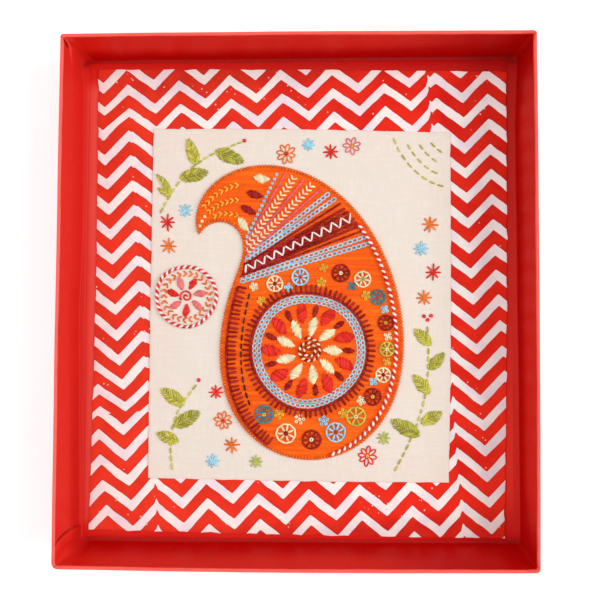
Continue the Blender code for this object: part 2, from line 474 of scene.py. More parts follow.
def thread_look(name, tint, spread):
    """Stranded floss: twisted strands, lighter and darker from stitch to stitch."""
    look = Look(name + "_thread_finish", specular_ior_level=0.22)
    dark = tuple(c * (1 - spread * 1.6) for c in tint)
    light = tuple(min(1.0, c * (1 + spread) + 0.02) for c in tint)
    fuzz = look.noise(700.0) - 0.5
    tone = look.attribute("tone") * 0.5 + 0.5 + fuzz * 0.7
    base = look.blend(tone.ramp(0.0, 1.0), dark, light)
    # strands wind round the thread: x is the length along it, y and z the way round
    x, y, z = look.split(look.attribute("twist", "Vector"))
    turn = x * (math.tau / TWIST)
    groove = abs(turn.sine() * y + (turn + math.pi / 2).sine() * z)
    # painted shade in the grooves between the strands
    base = look.blend((1.0 - groove).ramp(0.55, 1.0) * 0.3, base, tuple(c * 0.5 for c in tint))
    return look.finish(base, 0.42 + 0.12 * groove, groove, 0.00016, 0.7)


# ---- meshes ----


def add_object(name, data):
    """Puts an object with its data into the scene."""
    piece = bpy.data.objects.new(name, data)
    bpy.context.scene.collection.objects.link(piece)
    return piece


def skin(name, bm, material, sharp):
    """Turns a closed bmesh into a smooth object that keeps edges over sharp degrees."""
    bmesh.ops.recalc_face_normals(bm, faces=bm.faces)
    mesh = bpy.data.meshes.new(name)
    bm.to_mesh(mesh)
    bm.free()
    mesh.shade_smooth()
    mesh.set_sharp_from_angle(angle=math.radians(sharp))
    mesh.materials.append(material)
    return add_object(name, mesh)


def rides(piece, slot, *nodes):
    """Puts a piece on the one body and hides the solids it stands for; its finish, slot, is not
    used.
    """
    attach(piece, BODY)
    if nodes:
        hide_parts(*nodes)
    return piece


MERGE = 4e-6  # metres, under which two points are one
EDGE_SHARES = (0.0, 0.12, 0.32, 0.62, 1.0)  # places across a rounded edge


def closed_grid(name, rows, low, material):
    """A thin closed slab: its top is a grid of points and its underside is flat at low."""
    bm = bmesh.new()
    top = [[bm.verts.new(point) for point in row] for row in rows]
    under = [[bm.verts.new((x, y, low)) for x, y, _ in row] for row in rows]
    last_row, last_column = len(rows) - 1, len(rows[0]) - 1
    for i in range(last_row):
        for j in range(last_column):
            bm.faces.new((top[i][j], top[i][j + 1], top[i + 1][j + 1], top[i + 1][j]))
            bm.faces.new((under[i][j], under[i + 1][j], under[i + 1][j + 1], under[i][j + 1]))
    rim = [(0, j) for j in range(last_column)]
    rim += [(i, last_column) for i in range(last_row)]
    rim += [(last_row, j) for j in range(last_column, 0, -1)]
    rim += [(i, 0) for i in range(last_row, 0, -1)]
    for (i, j), (k, m) in zip(rim, rim[1:] + rim[:1]):
        bm.faces.new((top[k][m], top[i][j], under[i][j], under[k][m]))
    bmesh.ops.remove_doubles(bm, verts=bm.verts, dist=MERGE)
    return skin(name, bm, material, sharp=50)


def edge_steps(size, soft, step):
    """Places from 0 to size, close together at both ends where the edge is rounded."""
    near = [soft * share for share in EDGE_SHARES]
    count = max(1, round((size - 2 * soft) / step))
    middle = [soft + (size - 2 * soft) * k / count for k in range(1, count)]
    return near + middle + [size - k for k in reversed(near)]


def rounded_drop(distance, soft):
    """How far a rounded edge lies below the face at a distance in from the edge."""
    share = max(1 - distance / soft, 0.0)
    return soft * (1 - math.sqrt(max(0.0, 1 - share * share)))


def bump(x, y, z, fineness):
    """Shallow unevenness, -1 to 1, that changes slowly from place to place."""
    return noise.noise(Vector((x * fineness, y * fineness, z)))


RAGGED_BAND = 4  # mm in from a cut edge that its raggedness still moves
CALM_BAND = 6  # mm in from an edge where the cloth's shallow waves have grown in full


def layer(name, plan, low, top, soft, material, step, relief, ragged):
    """A flat four-cornered layer with bowed, softly rounded, uneven edges. Sizes in mm."""
    (bl, br, tr, tl), (bow_b, bow_r, bow_t, bow_l) = plan
    width, height = br[0] - bl[0], tl[1] - bl[1]
    rows = []
    for at_y in edge_steps(height, soft, step):
        b = at_y / height
        row = []
        for at_x in edge_steps(width, soft, step):
            a = at_x / width
            x, y = (
                (bl[k] * (1 - a) + br[k] * a) * (1 - b) + (tl[k] * (1 - a) + tr[k] * a) * b
                for k in (0, 1)
            )
            x += math.sin(math.pi * b) * (bow_r * a**6 - bow_l * (1 - a) ** 6)
            y += math.sin(math.pi * a) * (bow_t * b**6 - bow_b * (1 - b) ** 6)
            in_x, in_y = min(at_x, width - at_x), min(at_y, height - at_y)
            near_x, near_y = (max(0.0, 1 - inside / RAGGED_BAND) for inside in (in_x, in_y))
            x += ragged * near_x * noise.noise(Vector((a * 9, y * 0.11, 4.0)))
            y += ragged * near_y * noise.noise(Vector((x * 0.11, b * 9, 9.0)))
            inside = min(in_x, in_y)
            z = top / MM - rounded_drop(inside, soft)
            z += relief * bump(x, y, 1.0, 0.06) * min(1.0, inside / CALM_BAND)
            row.append((x * MM, y * MM, z * MM))
        rows.append(row)
    return closed_grid(name, rows, low, material)


NEAR_STEPS, MIDDLE_STEPS, CORNER_STEPS = 36, 48, 7  # points of a ring's side and corner


def soft_ring(corners, radii, bows):
    """Points round a four-sided outline: round corners, bowed sides, close together near
    the corners. Sizes in mm, and as many points whatever the outline."""
    ring = []
    for index in range(4):
        before, corner, after = (Vector(corners[(index + k) % 4]) for k in (-1, 0, 1))
        start = corner + (before - corner).normalized() * radii[index]
        end = corner + (after - corner).normalized() * radii[index]
        for k in range(CORNER_STEPS):
            t = k / (CORNER_STEPS - 1)
            weights = ((1 - t) ** 2, math.sqrt(0.5) * 2 * t * (1 - t), t * t)
            point = start * weights[0] + corner * weights[1] + end * weights[2]
            ring.append(point / sum(weights))
        last = after + (corner - after).normalized() * radii[(index + 1) % 4]
        side = last - end
        length = side.length
        reach = min(0.5 * NEAR_STEPS, length * 0.3)
        near = [reach * k / NEAR_STEPS for k in range(1, NEAR_STEPS + 1)]
        inner = length - 2 * reach
        places = near + [reach + inner * k / MIDDLE_STEPS for k in range(1, MIDDLE_STEPS)]
        places += [length - place for place in reversed(near)]
        outward = Vector((side.y, -side.x)) / length
        for place in places:
            bow = bows[index] * math.sin(math.pi * place / length)
            ring.append(end + side * (place / length) + outward * bow)
    return ring


def between(table, value):
    """Reads a table of (place, amount) rows with straight lines between them."""
    value = min(max(value, table[0][0]), table[-1][0])
    for (a, x), (b, y) in zip(table, table[1:]):
        if value <= b:
            return x + (y - x) * (value - a) / (b - a)


def smooth(share):
    """0 up to 0 and 1 from 1, smooth between them."""
    share = min(max(share, 0.0), 1.0)
    return share * share * (3 - 2 * share)


def hump(distance, width):
    """1 at no distance, falling off smoothly to both sides."""
    return math.exp(-((distance / width) ** 2))


def line_distance(points, y, z):
    """Distance in mm from a place to a drawn line, and how far along it that is, 0 to 1."""
    spots = []
    for k, ((y0, z0), (y1, z1)) in enumerate(zip(points, points[1:])):
        dy, dz = y1 - y0, z1 - z0
        part = ((y - y0) * dy + (z - z0) * dz) / (dy**2 + dz**2)
        part = min(max(part, 0.0), 1.0)
        off = math.hypot(y - y0 - dy * part, z - z0 - dz * part)
        spots.append((off, (k + part) / (len(points) - 1)))
    return min(spots)


def moved_out(corners, amount):
    """Corners round the origin moved so far outwards both ways, or inwards below 0."""
    return [
        (x + amount * math.copysign(1, x), y + amount * math.copysign(1, y)) for x, y in corners
    ]


class EMBROIDERY_OT_tray(bpy.types.Operator):
    """Make the paper-covered tray frame as one skin over its card walls and base"""

    bl_idname = "embroidery.tray"
    bl_label = "Tray frame"

    corner_radii: bpy.props.FloatVectorProperty(
        name="Corner radii", size=4, default=(4.0, 2.6, 2.2, 2.0),
        description="Outer corner radii in mm from the bottom left, anticlockwise",
    )
    bows: bpy.props.FloatVectorProperty(
        name="Bows", size=4, default=(0.6, 0.4, 0.6, 0.4),
        description="How far each side bows outwards in mm from the bottom, anticlockwise",
    )

    # the paper's fold low on the left wall: its edge as (height, place along the wall) in mm
    LOW_FOLD = (
        (1.9, -152.5), (9.9, -150.8), (21.3, -150.0), (32.1, -150.5), (39.0, -152.0),
        (42.0, -154.1),
    )
    # the ridge of spare paper in the top left corner, as (place along the wall, height) in mm
    RIDGE = (
        (164.4, 39.5), (163.6, 35.6), (162.1, 32.5), (159.7, 30.4), (157.1, 28.5), (153.3, 25.8),
        (150.3, 22.9),
    )
    NOTCH = ((163.2, 41.0), (162.3, 39.6), (161.7, 37.0), (160.9, 34.6))

    # the rim and the foot of the walls inside, anticlockwise from the bottom left, in mm: a
    # hand-made tray isn't quite square, and its walls lean out a little
    RIM = ((-152.3, -168.25), (149.25, -168.15), (149.35, 166.85), (-149.4, 166.95))
    RIM_BOWS = (0.95, 0.5, 0.35, 0.3)
    FOOT = ((-147.3, -162.5), (147.5, -162.3), (147.4, 164.2), (-147.0, 163.4))
    FOOT_LEFT = ((-160, 0.0), (-100, 0.2), (-20, 1.4), (5, 1.3), (40, -0.2), (90, -0.4), (160, 0.0))
    FOOT_RIGHT = ((-160, 0.0), (-110, 0.0), (0, -0.9), (70, -1.4), (125, -1.3), (155, 0.0))
    # the lining beside and below the board, as (how far outside the board, height) in mm
    LINING = ((0.5, 4.45), (-0.1, 4.4), (-0.55, 4.0), (-0.8, 2.66), (-6.0, BASE_TOP / MM))

    FOOT_HEIGHT = 5.0  # mm, where the inside of a wall starts
    CORNER_DEPTH = 26.0  # mm below the rim, where the inner corners are at their roundest
    FOLDED_FROM = -142.0  # mm, the left wall's own part of the skin
    FOLDED_CORNER = 140.0  # mm up that wall, where its top corner begins

    def fold(self, y, z):
        """How far the paper stands off the left wall in mm, and the painted shadow in its crease
        and notch (below 0, a painted highlight on the ridge).
        """
        push = crease = 0.0
        inside = between(self.LOW_FOLD, z) - y
        if inside > -2.0:
            standing = smooth((inside + 0.2) / 1.1) * smooth((11.0 - inside) / 10.0)
            push += 1.5 * standing * smooth((41.5 - z) / 3.5)
            depth = (0.35 + 0.65 * smooth((z - 18.0) / 8.0)) * smooth((42.4 - z) / 2.0)
            crease += hump(inside + 0.35, 0.5) * depth
        if y > self.FOLDED_CORNER:
            off, where = line_distance(self.RIDGE, y, z)
            ridge = hump(off, 1.1) * smooth((1.0 - where) / 0.6)
            push += 1.4 * ridge
            off, where = line_distance(self.NOTCH, y, z)
            crease += 1.6 * hump(off, 0.85) * (1.0 - 0.4 * abs(2 * where - 1)) - ridge
        return push, min(crease, 1.0)

    def outline(self, corners, inset, least, bows):
        radii = [max(radius - inset, least) for radius in self.corner_radii]
        if least > 1.0:
            radii[0] = max(radii[0], 2.4 * least)
        return soft_ring(moved_out(corners, -abs(inset)), radii, bows)

    def lean(self, x, y):
        """How far the foot of a side wall bows out of line."""
        amount = -between(self.FOOT_LEFT, y) if x < 0 else between(self.FOOT_RIGHT, y)
        return amount * smooth((abs(x) - 140.0) / 4.0)

    def execute(self, context):
        settings = context.scene.tray_look
        half_w, half_h = settings.width / MM / 2, settings.height / MM / 2
        wall, top, base = settings.wall / MM, TRAY_TOP / MM, BASE_TOP / MM
        inner_from = wall - 0.5
        square = ((-half_w, -half_h), (half_w, -half_h), (half_w, half_h), (-half_w, half_h))

        def ring(inset, z):
            """The outline of the skin at one height, out of those at its foot and rim."""
            if inset < inner_from:
                least, share = 0.6, z / top
                low = self.outline(square, inset, least, self.bows)
            else:
                least = 0.9 + 2.2 * smooth((top - z) / self.CORNER_DEPTH)
                share = max(z - self.FOOT_HEIGHT, 0.0) / (top - self.FOOT_HEIGHT)
                low = self.outline(self.FOOT, inset - wall, least, (0.0,) * 4)
                low = [Vector((x + self.lean(x, y), y)) for x, y in low]
            high = self.outline(self.RIM, inset, least, self.RIM_BOWS)
            return [a.lerp(b, share) for a, b in zip(low, high)]

        # the section of a wall from its underside, up outside, over the rim and down inside
        section = [(6.0, 0.0), (0.8, 0.0), (0.2, 0.2), (0.0, 0.8)]
        section += [(0.0, top * share) for share in (0.2, 0.4, 0.6, 0.8, 0.93)]
        section += [(0.0, top - 1.1), (0.12, top - 0.6), (0.4, top - 0.2), (0.8, top - 0.03)]
        section += [(wall / 2, top), (wall - 0.8, top - 0.05), (wall - 0.4, top - 0.25)]
        section += [(wall - 0.1, top - 0.7), (wall, top - 1.3)]
        section += [(wall, top - 1.3 - 1.25 * k) for k in range(1, 27)]
        section += [(wall + 0.03, 5.9), (wall + 0.15, 5.2), (wall + 0.45, 4.75), (wall + 1.0, 4.5)]
        bm = bmesh.new()
        creased = bm.verts.layers.float.new("crease")
        inner_side = bm.verts.layers.float.new("inner")
        rings = []
        for inset, z in section:
            points = []
            for x, y in ring(inset, z):
                lift, crease = 0.0, 0.0
                if base + 2 < z:
                    # card and paper are never quite true: shallow waves in wall and rim
                    wave = noise.noise(Vector((x * 0.016, y * 0.016, z * 0.022)))
                    ripple = noise.noise(Vector((x * 0.06, y * 0.06, z * 0.05 + 7)))
                    push = (wave * 0.38 + ripple * 0.10) * (1 if inset > 1.2 else 0.4)
                    push *= smooth((half_w + half_h - abs(x) - abs(y)) / 12.0)
                    if abs(x) / half_w > abs(y) / half_h:
                        x += push
                    else:
                        y += push
                if inset >= inner_from and x < self.FOLDED_FROM:
                    push, crease = self.fold(y, z)
                    x += push * smooth((half_h - wall - abs(y)) / 1.2)
                if z > top - 2.0:
                    lift = 0.22 * abs(bump(x, y, 3.0, 0.045))
                vert = bm.verts.new((x * MM, y * MM, (z - lift) * MM))
                # crease carries the painted shadow of the fold's crease and notch, below 0 its
                # painted highlight on the ridge
                vert[creased], vert[inner_side] = crease, float(inset > wall / 2 and z > 0.1)
                points.append(vert)
            rings.append(points)
        # the lining runs up to the board, down beside it and on beneath it
        corners, bows = BOARD_PLAN
        for grow, z in self.LINING:
            places = soft_ring(moved_out(corners, grow), [0.8] * 4, bows)
            points = [bm.verts.new((x * MM, y * MM, z * MM)) for x, y in places]
            for vert in points:
                vert[inner_side] = 1.0
            rings.append(points)
        count = len(rings[0])
        for lower, upper in zip(rings, rings[1:]):
            for k in range(count):
                m = (k + 1) % count
                bm.faces.new((lower[k], lower[m], upper[m], upper[k]))
        flats = [bm.faces.new(rings[-1]), bm.faces.new(rings[0][::-1])]
        bmesh.ops.poke(bm, faces=flats)
        cover = skin("tray_cover", bm, paper_look(settings, "red_paper_finish"), sharp=60)
        rides(cover, "red_paper", "tray_base", "wall_left", "wall_right", "wall_top", "wall_bottom")
        return {"FINISHED"}


class EMBROIDERY_OT_board(bpy.types.Operator):
    """Make the paper-covered board that lies in the tray"""

    bl_idname = "embroidery.board"
    bl_label = "Inset board"

    def execute(self, context):
        paper = paper_look(context.scene.tray_look, "board_paper_finish", False)
        board = layer("board_cover", BOARD_PLAN, BOARD_LOW, BOARD_TOP, 0.9, paper, 4.0, 0.2, 0.4)
        rides(board, "board_paper", "inset_board")
        return {"FINISHED"}


def flat_size(plan):
    """Mean width and height of a flat layer, in metres."""
    (bl, br, tr, tl), _ = plan
    width = (math.dist(bl, br) + math.dist(tl, tr)) / 2 * MM
    height = (math.dist(bl, tl) + math.dist(br, tr)) / 2 * MM
    return width, height


class EMBROIDERY_OT_printed_cloth(bpy.types.Operator):
    """Make the zigzag-printed cotton laid on the board"""

    bl_idname = "embroidery.printed_cloth"
    bl_label = "Printed cloth"

    def execute(self, context):
        look = print_look(context.scene.print_look)
        cloth = layer("zigzag_cloth", PRINT_PLAN, PRINT_LOW, PRINT_TOP, 0.45, look, 3.0, 0.18, 0.9)
        rides(cloth, "printed_cotton", "chevron_cloth")
        flat_size(PRINT_PLAN)
        return {"FINISHED"}


class EMBROIDERY_OT_ground_cloth(bpy.types.Operator):
    """Make the cream ground cloth and everything embroidered straight on it"""

    bl_idname = "embroidery.ground_cloth"
    bl_label = "Ground cloth"

    def execute(self, context):
        look = ground_look(context.scene.cloth_look)
        cloth = layer(
            "ground_cotton", GROUND_PLAN, GROUND_LOW, GROUND_TOP, 0.6, look, 2.5, 0.22, 0.5
        )
        rides(cloth, "cream_cotton", "ground_cloth")
        stitches = sew(context.scene.thread_look, "ground", embroider_ground(), GROUND_TOP)
        flat_size(GROUND_PLAN)
        return {"FINISHED"}


class EMBROIDERY_OT_applique(bpy.types.Operator):
    """Make the orange applique and everything embroidered on it"""

    bl_idname = "embroidery.applique"
    bl_label = "Applique"

    crown: number("Crown", "How far the cloth swells above its flat face, in mm", 0.3, min=0.0)

    ROWS = 110
    INSETS = (0.0, 0.024, 0.07, 0.15, 0.26, 0.52, 1.0)  # shares of the edge band's depth
    EDGE_BAND = 5.0  # mm, or half of the half width where that is less
    HEEL, SPAN = 0.004, 0.978  # where the rows start and how far they go, 1 being the length
    EDGE_ROUND = 0.8  # mm
    SWELL_BAND = 4.0  # mm in from the edge over which the cloth swells

    def execute(self, context):
        rows = []
        area = 0.0
        for i in range(self.ROWS + 1):
            share = 0.5 - 0.5 * math.cos(math.pi * (self.HEEL + self.SPAN * i / self.ROWS))
            half = motif_half_width(share)
            step = math.pi / 2 / self.ROWS * math.sin(math.pi * i / self.ROWS)
            area += half * 2 * step * MOTIF_LENGTH
            insets = [inset * min(self.EDGE_BAND, half * 0.5) for inset in self.INSETS]
            middle = [(half - insets[-1]) * k / 9 for k in range(-8, 9)]
            places = [inset - half for inset in insets] + middle
            places += [half - inset for inset in reversed(insets)]
            row = []
            for place in places:
                x, y = motif_point(share, place / half)
                inside = min(half - abs(place), MOTIF_LENGTH * min(share, (1 - share) * 0.6))
                swell = min(1.0, inside / self.SWELL_BAND)
                z = MOTIF_TOP / MM - rounded_drop(inside, self.EDGE_ROUND)
                z += self.crown * swell * (2 - swell) + 0.16 * bump(x, y, 5.0, 0.09) * swell
                row.append((x * MM, y * MM, z * MM))
            rows.append(row)
        look = motif_look(context.scene.cloth_look)
        cloth = closed_grid("orange_motif", rows, MOTIF_LOW, look)
        rides(cloth, "orange_cloth", "motif_applique")
        stitches = sew(
            context.scene.thread_look, "motif", embroider_motif(), MOTIF_TOP + self.crown * MM
        )
        across = [[point[k] for row in rows for point in row] for k in (0, 1)]
        [max(values) - min(values) for values in across]
        area * MM * MM
        return {"FINISHED"}


# ---- thread ----

STITCH_STEPS = 7  # points along a single straight stitch


def thread_tree():
    """Geometry nodes that turn drawn lines into raised threads."""
    group = bpy.data.node_groups.new("Stitches", "GeometryNodeTree")
    for name, way, kind in (
        ("Stitches", "INPUT", "Geometry"), ("Width", "INPUT", "Float"), ("Rise", "INPUT", "Float"),
        ("Sides", "INPUT", "Int"), ("Steps", "INPUT", "Int"), ("Thread", "INPUT", "Material"),
        ("Stitches", "OUTPUT", "Geometry"),
    ):
        group.interface.new_socket(name, in_out=way, socket_type="NodeSocket" + kind)
    tree = Tree(group.nodes, group.links)
    given = tree.add("NodeGroupInput").socket.node.outputs

    def step(kind, inputs, **settings):
        return tree.add("GeometryNode" + kind, inputs, **settings)

    def named(name, kind="FLOAT"):
        return step("InputNamedAttribute", {"Name": name}, output="Attribute", data_type=kind)

    def stored(geometry, name, value, kind):
        inputs = {"Geometry": geometry, "Name": name, "Value": value}
        return step("StoreNamedAttribute", inputs, data_type=kind, domain="POINT")

    lines = step("MeshToCurve", {"Mesh": given["Stitches"]})
    single = named("single", "BOOLEAN")
    inputs = {"Curve": lines, "Selection": single, "Count": given["Steps"]}
    lines = step("ResampleCurve", inputs, mode="COUNT")
    lines = step("SetCurveNormal", {"Curve": lines}, mode="Z_UP")
    # a straight stitch leaves the cloth, swells and goes down again
    factor = step("SplineParameter", {}, output="Factor")
    distance = step("SplineParameter", {}, output="Length")
    middle = (factor * 2.0 - 1.0) ** 2.0
    middle = middle * middle
    width, rise = named("width") * given["Width"], named("rise") * given["Rise"]
    lift = tree.joined(z=width * (rise + 0.35) * (1.0 - middle) - width * 0.35)
    lines = step("SetPosition", {"Geometry": lines, "Selection": single, "Offset": lift})
    lines = stored(lines, "along", distance, "FLOAT")
    # the section is an oval of a few sides that remembers the way round
    inputs = {"Resolution": given["Sides"], "Radius": 0.5}
    section = step("CurvePrimitiveCircle", inputs, mode="RADIUS")
    section = stored(section, "around", step("InputPosition", {}), "FLOAT_VECTOR")
    section = step("Transform", {"Geometry": section, "Scale": (1.0, 0.78, 1.0)})
    taper = width * (1.0 - middle * 0.42)
    inputs = {"Curve": lines, "Profile Curve": section, "Scale": taper, "Fill Caps": True}
    thread = step("CurveToMesh", inputs)
    side, up, _ = tree.split(named("around", "FLOAT_VECTOR"))
    twist = tree.joined(named("along"), side * 2.0, up * 2.0)
    thread = stored(thread, "twist", twist, "FLOAT_VECTOR")
    for kind in ("SetShadeSmooth", "RealizeInstances"):
        thread = step(kind, {"Geometry": thread})
    thread = step("SetMaterial", {"Geometry": thread, "Material": given["Thread"]})
    tree.feed(tree.nodes.new("NodeGroupOutput").inputs[0], thread)
    return group


def drawn_lines(name, stitches, base):
    """The stitches of one thread as a mesh of loose edges with a value for each point."""
    places, edges, widths, rises, tones, singles = [], [], [], [], [], []
    for points, width, rise, level, tone in stitches:
        first = len(places)
        single = len(points) == 2
        for x, y, *high in points:
            high = high[0] if high else 0.0
            lift = level * width + high if single else (level + high) * width
            places.append((x * MM, y * MM, base + (lift + width * 0.2) * MM))
            widths.append(width * MM)
            rises.append(rise)
            tones.append(tone)
            singles.append(single)
        edges += [(k, k + 1) for k in range(first, len(places) - 1)]
    mesh = bpy.data.meshes.new(name)
    mesh.from_pydata(places, edges, [])
    for label, kind, values in (
        ("width", "FLOAT", widths), ("rise", "FLOAT", rises),
        ("tone", "FLOAT", tones), ("single", "BOOLEAN", singles),
    ):
        mesh.attributes.new(label, kind, "POINT").data.foreach_set("value", values)
    return mesh


def sew(settings, place, work, base):
    """Make one piece for each thread used at a place, and return the pieces."""
    pieces = []
    for thread, stitches in work.threads.items():
        name = f"{place}_stitches_{thread}"
        material = bpy.data.materials.get(thread + "_thread_finish")
        given = {
            "Width": settings.width, "Rise": settings.rise, "Sides": settings.sides,
            "Steps": STITCH_STEPS, "Thread": material or thread_look(thread, *THREADS[thread]),
        }
        drawn = add_object(name + "_drawn", drawn_lines(name + "_drawn", stitches, base))
        modifier = drawn.modifiers.new("stitches", "NODES")
        modifier.node_group = bpy.data.node_groups.get("Stitches") or thread_tree()
        for item in modifier.node_group.interface.items_tree:
            if item.name in given:
                modifier[item.identifier] = given[item.name]
        seen = drawn.evaluated_get(bpy.context.evaluated_depsgraph_get())
        mesh = bpy.data.meshes.new_from_object(seen)
        mesh.name = name
        bpy.data.objects.remove(drawn, do_unlink=True)
        if len(mesh.polygons) == 0:
            raise RuntimeError(name + " has no stitches")
        pieces.append(
            rides(add_object(name, mesh), "orange_cloth" if place == "motif" else "cream_cotton")
        )
    return pieces


# --- helpers on paths, in millimetres ---


def polar(cx, cy, radius, degrees):
    angle = math.radians(degrees)
    return (cx + radius * math.cos(angle), cy + radius * math.sin(angle))


def arc(cx, cy, radius, start=0, end=360, steps=48):
    """Points along an arc as a hand draws it, not quite round, angles in degrees."""
    points = []
    for k in range(steps + 1):
        degrees = start + (end - start) * k / steps
        turn = math.radians(degrees)
        uneven = 1 + 0.014 * math.sin(3 * turn + cx) + 0.008 * math.sin(5 * turn + cy)
        points.append(polar(cx, cy, radius * uneven, degrees))
    return points


def bend(x0, y0, x1, y1, bulge):
    """A shallow curve between two points that swells to its left by bulge."""
    mark = (x0, y0, math.atan2(y1 - y0, x1 - x0))
    length = math.hypot(x1 - x0, y1 - y0)
    return [placed(mark, length * k / 40, bulge * math.sin(math.pi * k / 40)) for k in range(41)]


def coil(cx, cy, inner, outer, turns):
    """A flat spiral from its middle outwards."""
    shares = [k / 90 for k in range(91)]
    return [polar(cx, cy, inner + (outer - inner) * part, 360 * turns * part) for part in shares]


def lengths_of(path):
    """How far along a path each of its points lies."""
    run = [0.0]
    for start, end in zip(path, path[1:]):
        run.append(run[-1] + math.dist(start, end))
    return run


def along(path, distance, run):
    """Place and heading at a distance along a path."""
    distance = min(max(distance, 0.0), run[-1] - 1e-6)
    low = min(bisect.bisect_right(run, distance), len(run) - 1) - 1
    (x0, y0), (x1, y1) = path[low], path[low + 1]
    share = (distance - run[low]) / max(run[low + 1] - run[low], 1e-9)
    return x0 + (x1 - x0) * share, y0 + (y1 - y0) * share, math.atan2(y1 - y0, x1 - x0)


def marks(path, space, offset=0.0, extra=0):
    """Evenly spaced places along a path, each with its heading."""
    run = lengths_of(path)
    count = max(1, round(run[-1] / space))
    for k in range(count + extra):
        yield along(path, run[-1] * (k + offset) / count, run)


def placed(mark, ahead, aside):
    """The point so far ahead of a place and so far to the left of its heading."""
    x, y, heading = mark
    c, s = math.cos(heading), math.sin(heading)
    return x + c * ahead - s * aside, y + s * ahead + c * aside


# --- the applique's shape ---

HEEL_X, HEEL_Y = 2.0, -106.0
MOTIF_LENGTH, MOTIF_HALF = 236.0, 61.0  # along the curled middle, and half its widest
MOTIF_LEAN, MOTIF_CURL = 84.0, 185.0  # degrees: heading at the heel, and turn up to the tip
MOTIF_CURL_POWER, MOTIF_TAPER = 3.6, 1.1  # how late it curls, and how slender its tip is
SPINE_STEPS = 800


def motif_spine():
    """Places and headings along the middle of the applique, from heel to tip."""
    x, y = HEEL_X, HEEL_Y
    points = []
    for step in range(SPINE_STEPS + 1):
        share = step / SPINE_STEPS
        heading = math.radians(MOTIF_LEAN + MOTIF_CURL * share**MOTIF_CURL_POWER)
        points.append((x, y, heading))
        x, y = placed(points[-1], MOTIF_LENGTH / SPINE_STEPS, 0)
    return points


SPINE = motif_spine()


def motif_half_width(share):
    """Half the applique's width at a share of its length."""
    peak = 0.5 / (0.5 + MOTIF_TAPER)
    top = peak**0.5 * (1 - peak) ** MOTIF_TAPER
    share = min(max(share, 0.0), 1.0)
    return MOTIF_HALF * share**0.5 * (1 - share) ** MOTIF_TAPER / top


def motif_point(share, side, inset=0.0):
    """A point of the applique: share from heel to tip, side -1 left to +1 right."""
    place = min(max(share, 0.0), 1.0) * SPINE_STEPS
    low = min(int(place), SPINE_STEPS - 1)
    mark = [a + (b - a) * (place - low) for a, b in zip(SPINE[low], SPINE[low + 1])]
    return placed(mark, 0, -side * max(motif_half_width(share) - inset, 0.0))


def motif_edge(inset, start, end, side, steps=90):
    """A line that follows one side of the applique, inset from its edge."""
    shares = [0.5 - 0.5 * math.cos(math.pi * k / steps) for k in range(steps + 1)]
    return [motif_point(start + (end - start) * share, side, inset) for share in shares]


def motif_across(share, inset, steps=24):
    """A line across the applique at one share of its length."""
    return [motif_point(share, 2 * k / steps - 1, inset) for k in range(steps + 1)]


# --- the stitches ---


MOTIF_SEED, GROUND_SEED = 11, 23  # of what varies from stitch to stitch


